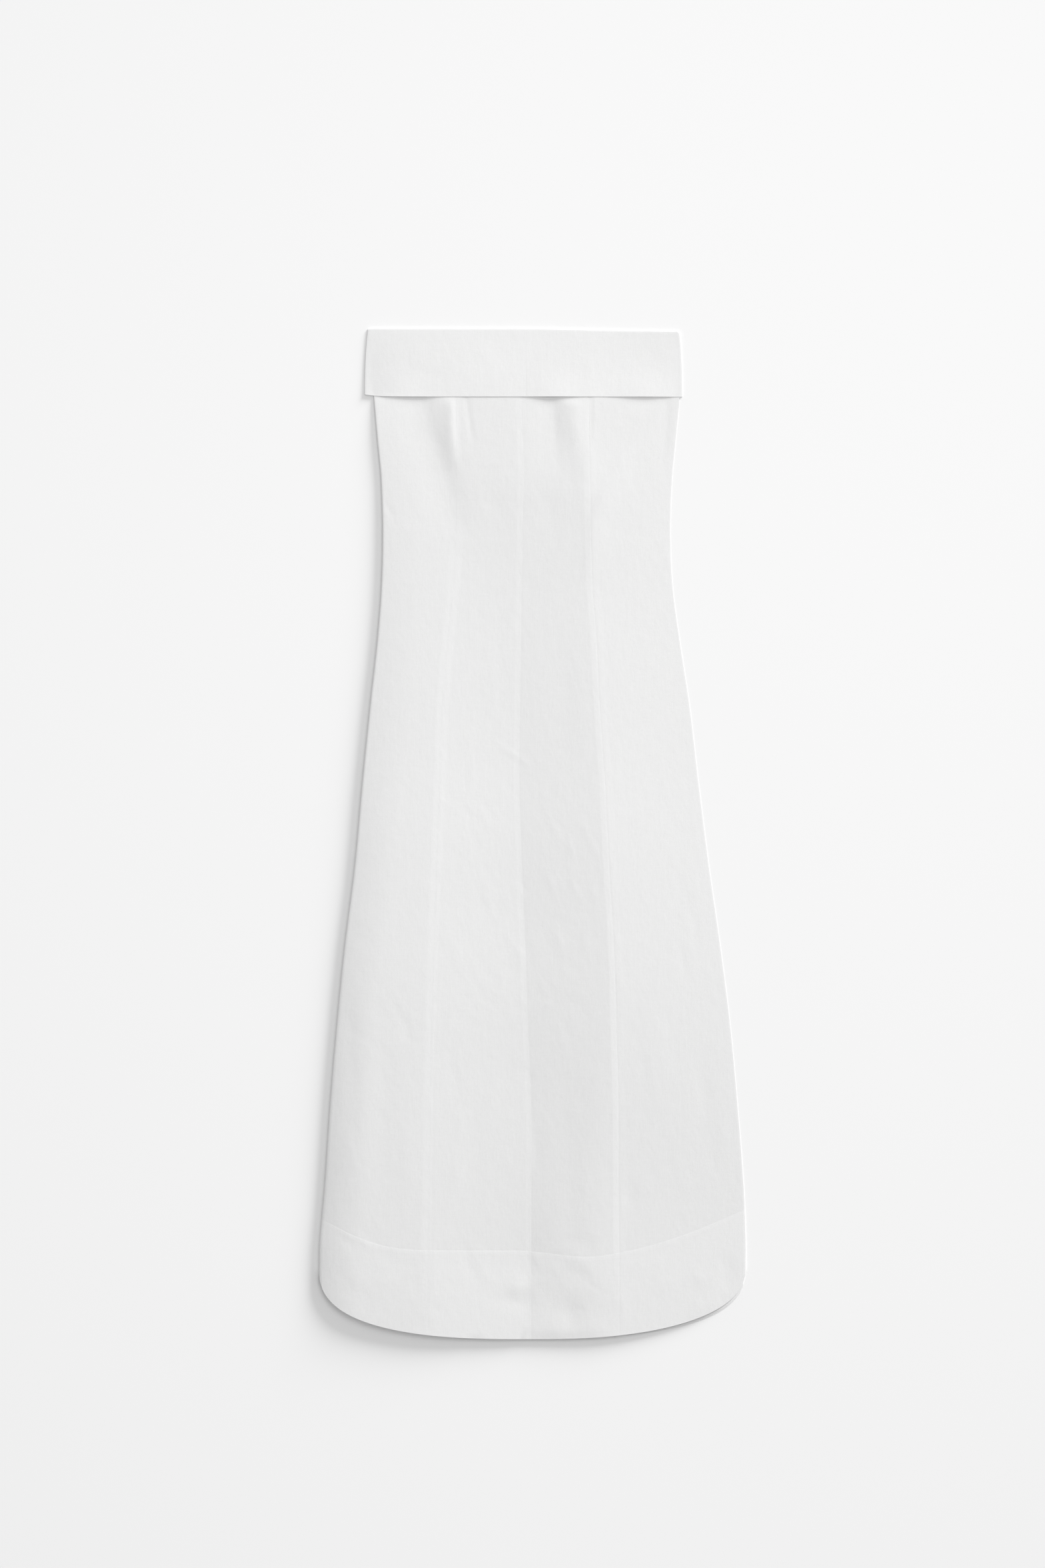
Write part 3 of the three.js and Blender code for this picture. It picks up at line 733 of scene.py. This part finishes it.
class Shader:
    """A material's node tree, with one method for all its nodes."""

    def __init__(self, name):
        self.material = bpy.data.materials.new(name)
        self.material.use_nodes = True
        self.tree = self.material.node_tree
        self.surface = self.tree.nodes["Principled BSDF"]

    def node(self, kind, settings, values, output=0):
        """Adds a node, with its settings first and then the values or links of its sockets."""
        made = self.tree.nodes.new(kind)
        for name, setting in settings.items():
            setattr(made, name, setting)
        for name, value in values.items():
            self.give(made.inputs[name], value)
        return Term(self, made.outputs[output])

    def give(self, socket, value):
        if isinstance(value, Term):
            self.tree.links.new(value.socket, socket)
        else:
            socket.default_value = value

    def noise(self, place, detail=2.0, roughness=0.5):
        values = {"Vector": place, "Scale": 1.0, "Detail": detail, "Roughness": roughness}
        return self.node("ShaderNodeTexNoise", {}, values)

    def stretched(self, place, across, up):
        """Places for a noise whose grains are this wide and this long, in metres."""
        scale = (1 / across, 1 / up, 1.0)
        return self.node("ShaderNodeVectorMath", {"operation": "MULTIPLY"}, {0: place, 1: scale})

    def finish(self, **constants):
        for name, value in constants.items():
            self.surface.inputs[name.replace("_", " ").title().replace("Ior", "IOR")].default_value = value
        return self.material


THREAD = 0.00062


def linen(name, white, show):
    """Plain-woven white linen with slubs. The colour is lighter where cloth lies behind it, by show, and
    darker where the same value carries a painted shade of the hollow inside.
    """
    shader = Shader(name)
    place = shader.node("ShaderNodeUVMap", {"uv_map": "cloth"}, {})
    layers_and_painted_shade = shader.node("ShaderNodeAttribute", {"attribute_name": "layers_and_painted_shade"}, {}, output=2)
    uneven = shader.noise(shader.stretched(place, 0.011, 0.014), 2.0)
    parts = {"Vector": place}
    u = shader.node("ShaderNodeSeparateXYZ", {}, parts, output=0) + (uneven - 0.5) * (THREAD * 0.9)
    v = shader.node("ShaderNodeSeparateXYZ", {}, parts, output=1) + (uneven - 0.5) * (THREAD * 0.7)

    # plain weave: each thread is a rounded rib that dips under its neighbours in turn
    warp, weft = (u * (math.pi / THREAD)).sine(), (v * (math.pi / THREAD)).sine()
    over = (warp * weft).above(0.0)
    warp_rib = over * warp.size() * (0.5 + 0.5 * weft.size())
    weft_rib = (1 - over) * weft.size() * (0.5 + 0.5 * warp.size())
    weave = warp_rib + weft_rib

    # slubs along both threads, the sheer cloth's uneven thickness, and fine crumples
    warp_slub = shader.noise(shader.stretched(place, 0.0011, 0.034), 3.0, 0.6)
    weft_slub = shader.noise(shader.stretched(place, 0.026, 0.0011), 3.0, 0.6)
    slub = (warp_slub - 0.5) * 1.15 + (weft_slub - 0.5) * 0.85
    grain = shader.noise(shader.stretched(place, 0.0022, 0.0026), 3.0, 0.6)
    mottle = shader.noise(shader.stretched(place, 0.013, 0.021), 3.0, 0.55)
    crumple = shader.noise(shader.stretched(place, 0.009, 0.016), 4.0, 0.6)

    # the value read from the points lightens the colour over cloth lying behind, and darkens it with painted
    # shade low on the skirt
    tone = 1 + layers_and_painted_shade * show + slub * 0.030 + (grain - 0.5) * 0.026
    # painted shade: the colour is a little darker where the threads dip under their neighbours
    tone = tone + (mottle - 0.5) * 0.018 + (weave - 0.5) * 0.02
    tint = shader.node("ShaderNodeVectorMath", {"operation": "SCALE"}, {0: white, "Scale": tone})
    shader.give(shader.surface.inputs["Base Color"], tint)
    shader.give(shader.surface.inputs["Roughness"], 0.86 + (grain - 0.5) * 0.16 - slub * 0.08)

    threads = {"Strength": 0.55, "Distance": 0.00007, "Height": weave + slub * 0.8}
    fine = shader.node("ShaderNodeBump", {}, threads)
    soft = {"Strength": 0.5, "Distance": 0.00042, "Height": crumple + grain * 0.12, "Normal": fine}
    shader.give(shader.surface.inputs["Normal"], shader.node("ShaderNodeBump", {}, soft))
    return shader.finish(sheen_weight=0.12, sheen_roughness=0.45, specular_IOR_level=0.28)


def thread_finish():
    """Matt cotton sewing thread, twisted."""
    shader = Shader("white_thread")
    place = shader.node("ShaderNodeTexCoord", {}, {}, output=3)
    twist = shader.noise(shader.stretched(place, 0.00035, 0.00022), 1.0)
    values = {0: (0.83, 0.83, 0.828), "Scale": 0.97 + twist * 0.06}
    tint = shader.node("ShaderNodeVectorMath", {"operation": "SCALE"}, values)
    shader.give(shader.surface.inputs["Base Color"], tint)
    bump = shader.node("ShaderNodeBump", {}, {"Strength": 0.5, "Distance": 0.00006, "Height": twist})
    shader.give(shader.surface.inputs["Normal"], bump)
    return shader.finish(roughness=0.7, sheen_weight=0.1)


BODY_LINEN = linen("body_linen", (0.832, 0.832, 0.831), 0.030)
FACING_LINEN = linen("facing_linen", (0.835, 0.835, 0.834), 0.030)
CUFF_LINEN = linen("cuff_linen", (0.846, 0.846, 0.845), 0.020)
THREAD_FINISH = thread_finish()


def add_object(name, mesh, material):
    piece = bpy.data.objects.new(name, mesh)
    bpy.context.collection.objects.link(piece)
    if material:
        mesh.materials.append(material)
    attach(piece, "root")
    return piece


def half_area(mesh):
    """Area of one side of a thin closed wall, in square metres."""
    areas = np.zeros(len(mesh.polygons))
    mesh.polygons.foreach_get("area", areas)
    return float(areas.sum() / 2)


def add_cloth(node, mesh, material, slot):
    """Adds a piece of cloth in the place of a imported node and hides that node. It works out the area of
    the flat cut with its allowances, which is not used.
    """
    piece = add_object("linen_" + node, mesh, material)
    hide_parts(node)
    low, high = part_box(node)
    edge = 2 * ALLOWANCE * MM
    width, length = high.x - low.x + edge, high.y - low.y + edge
    if slot == "cuff_linen":
        length += CUFF_RETURN * MM
    area = min(half_area(mesh) + (width + length) * edge, width * length)
    return piece


# Front panels
def front_layers_and_painted_shade(x, y):
    """How much cloth lies behind the front: allowances pressed open, and the facing with its turned edge. A
    painted shade of the hollow inside is taken off this, so the lower skirt's colour is darker.
    """
    below = facing_top(x) - y
    band = in_band(x, y)
    turned = stripe(below - TURNED_EDGE / 2, TURNED_EDGE / 2, 0.7)
    shift = 3 * smooth(y, 250, -450)
    left = stripe(x - cut_at("princess_left", y) + shift, ALLOWANCE - 0.4 - shift / 2, 1.7)
    left = left * smooth(y, 400, 330)
    off_right = x - cut_at("princess_right", y)
    right = stripe(off_right + 3.4, 4.1, 0.9) + 0.2 * stripe(off_right - 4.5, 3.8, 1.6)
    right = right * smooth(y, 500, 420)
    middle = stripe(x - cut_at("centre", y) + 2.2, 3.7, 0.8)
    seams = 0.8 * left + 1.25 * right + 0.75 * middle
    return seams * (1 - 0.88 * band) + 0.75 * band + 0.25 * turned * band - painted_hollow_shade(y)


def painted_hollow_shade(y):
    """Painted shade: how much darker the colour is made low on the skirt, where the front stands further off
    the back, standing for the shade in the hollow between them.
    """
    return 1.15 * smooth(-y, -60, 460)


LEFT = cut_line("left", 1, LEFT_FOLD)
RIGHT = cut_line("right", -1, RIGHT_FOLD)
FRONT_PANELS = {
    "front_side_left": (LEFT, cut_line("princess_left", -1), 137),
    "front_centre_left": (cut_line("princess_left", 1), cut_line("centre", -1), 126),
    "front_centre_right": (cut_line("centre", 1), cut_line("princess_right", -1), 111),
    "front_side_right": (cut_line("princess_right", 1), RIGHT, 157),
}
BACK_PANELS = {
    "back_left": (LEFT, Line(back_seam, -1), 266),
    "back_right": (Line(back_seam, 1), RIGHT, 266),
}

for node, (start, end, widest) in FRONT_PANELS.items():
    x, y = body_grid(start, end, front_hem, widest, FRONT_POINTS_APART)
    outer = np.stack([x, y, front_top(x, y)], axis=2)
    mesh = cloth_mesh(node, outer, CLOTH, 1, front_layers_and_painted_shade(x, y))
    add_cloth(node, mesh, BODY_LINEN, "body_linen")


# Back panels
def back_layers_and_painted_shade(x, y):
    seam = stripe(x - back_seam(y), ALLOWANCE, 0.7)
    band = in_band(x, y)
    # allowance and facing behind the back, less the same painted shade of the hollow inside, darker low on
    # the skirt
    return 0.85 * seam * (1 - 0.8 * band) + 0.75 * band - painted_hollow_shade(y)


for node, (start, end, widest) in BACK_PANELS.items():
    x, y = body_grid(start, end, back_hem, widest, BACK_POINTS_APART)
    outer = np.stack([x, y, back_under(x, y)], axis=2)
    mesh = cloth_mesh(node, outer, CLOTH, -1, back_layers_and_painted_shade(x, y))
    add_cloth(node, mesh, BODY_LINEN, "body_linen")


# Hem facings, against the inside of the front and of the back
def add_facing(node, hem, face_height, face):
    place = np.sin(np.radians(np.linspace(-90, 90, 171)))
    at_hem = place * (HEM_WIDTH / 2 - FACING_SIDE_INSET)
    low, high = hem(at_hem) + FACING_HEM_INSET, facing_top(at_hem)
    share = np.concatenate([[0, 0.003, 0.01], np.linspace(0.03, 0.97, 34), [0.99, 0.997, 1]])[:, None]
    y = low * (1 - share) + high * share
    left, right = cut_at("left", y) + FACING_SIDE_INSET, cut_at("right", y) - FACING_SIDE_INSET
    x = left + (right - left) * (place + 1) / 2
    outer = np.stack([x, y, face_height(x, y) - face * (CLOTH + LAYER_AIR)], axis=2)
    mesh = cloth_mesh(node, outer, CLOTH, face, np.full(x.shape, 0.6))
    add_cloth(node, mesh, FACING_LINEN, "facing_linen")


add_facing("hem_facing_front", front_hem, front_top, 1)
add_facing("hem_facing_back", back_hem, back_under, -1)


# Cuff
def cuff_side(corner, into, fold):
    def at(y):
        height = np.clip((y - CUFF_EDGE) / CUFF_DEPTH, 0, 1)
        return corner + into * CUFF_FLARE * height ** CUFF_FLARE_POWER
    return Line(at, into, fold)


def cuff_seam(into):
    return Line(lambda y: np.full(np.shape(y), CUFF_SEAM), into)


def cuff_section(apart):
    """The cuff from its lower edge over the top fold to the end of its return: depth, below, share, turn."""
    leg = CUFF_DEPTH - CUFF_TOP_FOLD
    steps = round(leg / apart)
    shares = [shift / leg for shift in EDGE_SHIFTS] + [i / steps for i in range(2, steps)]
    section = [(0, CUFF_TOP_FOLD, share, 0) for share in shares]
    for angle in np.radians(np.arange(0, 181, 15)):
        depth = RETURN_DEPTH / 2 * (1 - math.cos(angle))
        section.append((depth, CUFF_TOP_FOLD * (1 - math.sin(angle)), 1, angle / math.pi))
    for below in (5, 8, 11, 13, 13.7, CUFF_RETURN):
        section.append((RETURN_DEPTH, below, 1, 1))
    return np.array(section)[:, :, None].transpose(1, 0, 2)


def cuff_relief(x, y):
    high = np.zeros(np.shape(x))
    for bump_x, bump_y, spread, rise in CUFF_BUMPS:
        high = high + rise * np.exp(-((x - bump_x) ** 2 + (y - bump_y) ** 2) / spread ** 2)
    for path, left, right in CUFF_CREASES:
        high = high + crease(path, left, right, x, y)
    off = x - CUFF_SEAM
    return high + 0.04 * stripe(off, ALLOWANCE, 1.4) - 0.05 * np.exp(-(off / 1.0) ** 2)


def cuff_layers(x, y):
    seam = 0.25 * stripe(x - CUFF_SEAM, ALLOWANCE, 1.6)
    turned = 0.25 * stripe(y - CUFF_EDGE, 7, 1.5)
    return seam + turned


def add_cuff(node, start, end, widest, face, apart):
    shares, shifts, arcs = columns_between(start, end, widest, apart)
    folded = ~np.isnan(arcs)
    arc = np.where(folded, arcs, np.pi / 2)
    depth, below, share, turn = cuff_section(apart)
    plain_x = start.at(TOP) * (1 - shares) + end.at(TOP) * shares + shifts
    top = top_edge(plain_x) - below
    y = flap_edge(plain_x) * (1 - share) + top * share
    into = np.where(shares < 0.5, start.into, end.into)
    x = start.at(y) * (1 - shares) + end.at(y) * shares + shifts
    full = RETURN_INSET + RETURN_SPREAD
    at_start = start.into * full * (1 - shares) if start.fold else 0
    at_end = end.into * full * shares if end.fold else 0
    at_fold = into * (RETURN_INSET + RETURN_SPREAD * arc / (np.pi / 2))
    x = x + turn * np.where(folded, at_fold, at_start + at_end)

    high = stand(x, y) + CUFF_STEP
    from_left, from_right = x - CUFF_LEFT, CUFF_RIGHT - x
    at_side = stand_at("left_fold", y), stand_at("right_fold", y)
    middle = (np.where(from_left < from_right, *at_side) + CUFF_STEP) / 2
    if face > 0:
        calm = smooth(np.minimum(from_left, from_right), 0, 22) * smooth(TOP - y, 2, 22)
        over_body = np.where(calm > 0, front_top(x, y) + CUFF_STEP, high)
        high = np.where(turn == 0, np.maximum(high + calm * cuff_relief(x, y), over_body), high)
        reach_up = high - middle
    else:
        reach_up = middle
    z = middle + face * np.maximum(reach_up - depth, SEAM_GAP / 2) * np.maximum(np.sin(arc), 0.03)
    outer = np.stack([x, y, z], axis=2)
    mesh = cloth_mesh(node, outer, CUFF_CLOTH, face, cuff_layers(x, y))
    add_cloth(node, mesh, CUFF_LINEN, "cuff_linen")


CUFF_SIDE_LEFT = cuff_side(CUFF_LEFT, 1, CUFF_LEFT_FOLD)
CUFF_SIDE_RIGHT = cuff_side(CUFF_RIGHT, -1, CUFF_RIGHT_FOLD)
add_cuff("cuff_front_left", CUFF_SIDE_LEFT, cuff_seam(-1), 200, 1, CUFF_POINTS_APART)
add_cuff("cuff_front_right", cuff_seam(1), CUFF_SIDE_RIGHT, 195, 1, CUFF_POINTS_APART)
add_cuff("cuff_back", CUFF_SIDE_LEFT, CUFF_SIDE_RIGHT, 396, -1, BACK_POINTS_APART)


# Stitches along the facing's upper edge
def stitch_nodes(thread):
    """A Geometry Nodes tree that sews stitches along a line of points."""
    tree = bpy.data.node_groups.new("running_stitch", "GeometryNodeTree")
    tree.interface.new_socket("Line", in_out="INPUT", socket_type="NodeSocketGeometry")
    for name in ("Pitch", "Stitch length", "Thread thickness"):
        tree.interface.new_socket(name, in_out="INPUT", socket_type="NodeSocketFloat")
    tree.interface.new_socket("Seed", in_out="INPUT", socket_type="NodeSocketInt")
    tree.interface.new_socket("Stitches", in_out="OUTPUT", socket_type="NodeSocketGeometry")
    inputs, link = tree.nodes.new("NodeGroupInput").outputs, tree.links.new

    def node(kind, values, **settings):
        made = tree.nodes.new(kind)
        for name, setting in settings.items():
            setattr(made, name, setting)
        for name, value in values.items():
            if isinstance(value, bpy.types.NodeSocket):
                link(value, made.inputs[name])
            else:
                made.inputs[name].default_value = value
        return made

    curve = node("GeometryNodeMeshToCurve", {"Mesh": inputs["Line"]}).outputs[0]
    pitch = {"Curve": curve, "Length": inputs["Pitch"]}
    spaced = node("GeometryNodeResampleCurve", pitch, mode="LENGTH").outputs[0]
    bead = node("GeometryNodeMeshUVSphere", {"Segments": 8, "Rings": 6, "Radius": 0.5}).outputs[0]
    tangent = node("GeometryNodeInputTangent", {}).outputs[0]
    turn = node("FunctionNodeAlignRotationToVector", {"Vector": tangent}, axis="X").outputs[0]
    vary = node("FunctionNodeRandomValue", {"Seed": inputs["Seed"]}, data_type="FLOAT")
    vary.inputs[2].default_value, vary.inputs[3].default_value = 0.82, 1.08
    varied = {0: inputs["Stitch length"], 1: vary.outputs[1]}
    long = node("ShaderNodeMath", varied, operation="MULTIPLY").outputs[0]
    thick = inputs["Thread thickness"]
    size = node("ShaderNodeCombineXYZ", {0: long, 1: thick, 2: thick}).outputs[0]
    placed = {"Points": spaced, "Instance": bead, "Rotation": turn, "Scale": size}
    sewn = node("GeometryNodeInstanceOnPoints", placed).outputs[0]
    real = node("GeometryNodeRealizeInstances", {"Geometry": sewn}).outputs[0]
    smooth_set = node("GeometryNodeSetShadeSmooth", {"Geometry": real}).outputs[0]
    finished = node("GeometryNodeSetMaterial", {"Geometry": smooth_set, "Material": thread}).outputs[0]
    link(finished, tree.nodes.new("NodeGroupOutput").inputs["Stitches"])
    return tree


def sew(name, line, tree, slot, **sizes):
    """Stitches along a line of points, as a plain mesh."""
    mesh = bpy.data.meshes.new(name + "_line")
    mesh.from_pydata((line * MM).tolist(), [(i, i + 1) for i in range(len(line) - 1)], [])
    guide = bpy.data.objects.new(name + "_line", mesh)
    bpy.context.collection.objects.link(guide)
    modifier = guide.modifiers.new("stitches", "NODES")
    modifier.node_group = tree
    for socket in tree.interface.items_tree:
        if socket.in_out == "INPUT" and socket.name in sizes:
            modifier[socket.identifier] = sizes[socket.name]
    made = bpy.data.meshes.new_from_object(guide.evaluated_get(bpy.context.evaluated_depsgraph_get()))
    made.name = name
    bpy.data.objects.remove(guide)
    return add_object(name, made, None)


STITCH = {"Pitch": 0.0029, "Stitch length": 0.0021, "Thread thickness": 0.0003}
STITCHES = stitch_nodes(THREAD_FINISH)


def sew_facing(name, face_height, above, seed):
    x = np.linspace(-HEM_WIDTH / 2 + 10, HEM_WIDTH / 2 - 10, 400)
    y = facing_top(x) - 0.6
    line = np.stack([x, y, face_height(x, y) + above], axis=1)
    return sew(name, line, STITCHES, "facing_linen", Seed=seed, **STITCH)


sew_facing("facing_stitches_front", front_top, -0.09, 3)
sew_facing("facing_stitches_back", back_under, 0.09, 4)


# Surface, light and camera
def plain_white(name, colour):
    shader = Shader(name)
    shader.surface.inputs["Base Color"].default_value = (*colour, 1)
    return shader.finish(roughness=0.95, specular_IOR_level=0.0)


def add_floor():
    mesh = bpy.data.meshes.new("floor")
    size = 9.0
    drop = -0.00012
    corners = [(-size, -size, drop), (size, -size, drop), (size, size, drop), (-size, size, drop)]
    mesh.from_pydata(corners, [], [(0, 1, 2, 3)])
    mesh.materials.append(plain_white("floor_white", (0.94, 0.94, 0.94)))
    floor = bpy.data.objects.new("floor", mesh)
    bpy.context.collection.objects.link(floor)


def aim(location, target):
    """A rotation that points a lamp from its place to a target."""
    return (Vector(target) - Vector(location)).to_track_quat("-Z", "Y").to_euler()


def add_lamp(name, kind, location, target, energy, **settings):
    data = bpy.data.lights.new(name, kind)
    data.energy = energy
    for key, value in settings.items():
        setattr(data, key, value)
    lamp = bpy.data.objects.new(name, data)
    lamp.location = location
    lamp.rotation_euler = aim(location, target)
    bpy.context.collection.objects.link(lamp)


SUN_ELEVATION = math.radians(15)
SUN_AZIMUTH = math.radians(50)
SUN_SPREAD = math.radians(23)
SUN_STRENGTH = 3.62
SUN_AWAY = 3
SOFTBOX_PLACE = (0.7, 1.0, 3.2)
SOFTBOX_POWER = 24.0
SOFTBOX_SIZE = 1.6
ROOM_LIGHT = 0.5


def add_lights():
    flat = SUN_AWAY * math.cos(SUN_ELEVATION)
    window = (flat * math.cos(SUN_AZIMUTH), flat * math.sin(SUN_AZIMUTH), SUN_AWAY * math.sin(SUN_ELEVATION))
    add_lamp("window", "SUN", window, (0, 0, 0), SUN_STRENGTH, angle=SUN_SPREAD)
    add_lamp("softbox", "AREA", SOFTBOX_PLACE, (0, 0, 0), SOFTBOX_POWER, size=SOFTBOX_SIZE)
    world = bpy.data.worlds.new("studio")
    world.use_nodes = True
    background = world.node_tree.nodes["Background"].inputs
    background["Color"].default_value = (1, 1, 1, 1)
    background["Strength"].default_value = ROOM_LIGHT
    bpy.context.scene.world = world


# The picture is 1568 x 2352 pixels of 0.83 mm, and its middle lies a little up and left of the dress's
PICTURE_MIDDLE = (-12.45, 61.8)
PICTURE_HEIGHT = 1952.2
LENS = 95.0
SENSOR = 36.0


def add_camera():
    data = bpy.data.cameras.new("overhead")
    data.sensor_width = SENSOR
    data.lens = LENS
    camera = bpy.data.objects.new("overhead", data)
    distance = PICTURE_HEIGHT * LENS / SENSOR
    camera.location = (PICTURE_MIDDLE[0] * MM, PICTURE_MIDDLE[1] * MM, distance * MM)
    bpy.context.collection.objects.link(camera)
    bpy.context.scene.camera = camera


add_floor()
add_lights()
add_camera()
bpy.context.scene.view_settings.view_transform = "Standard"
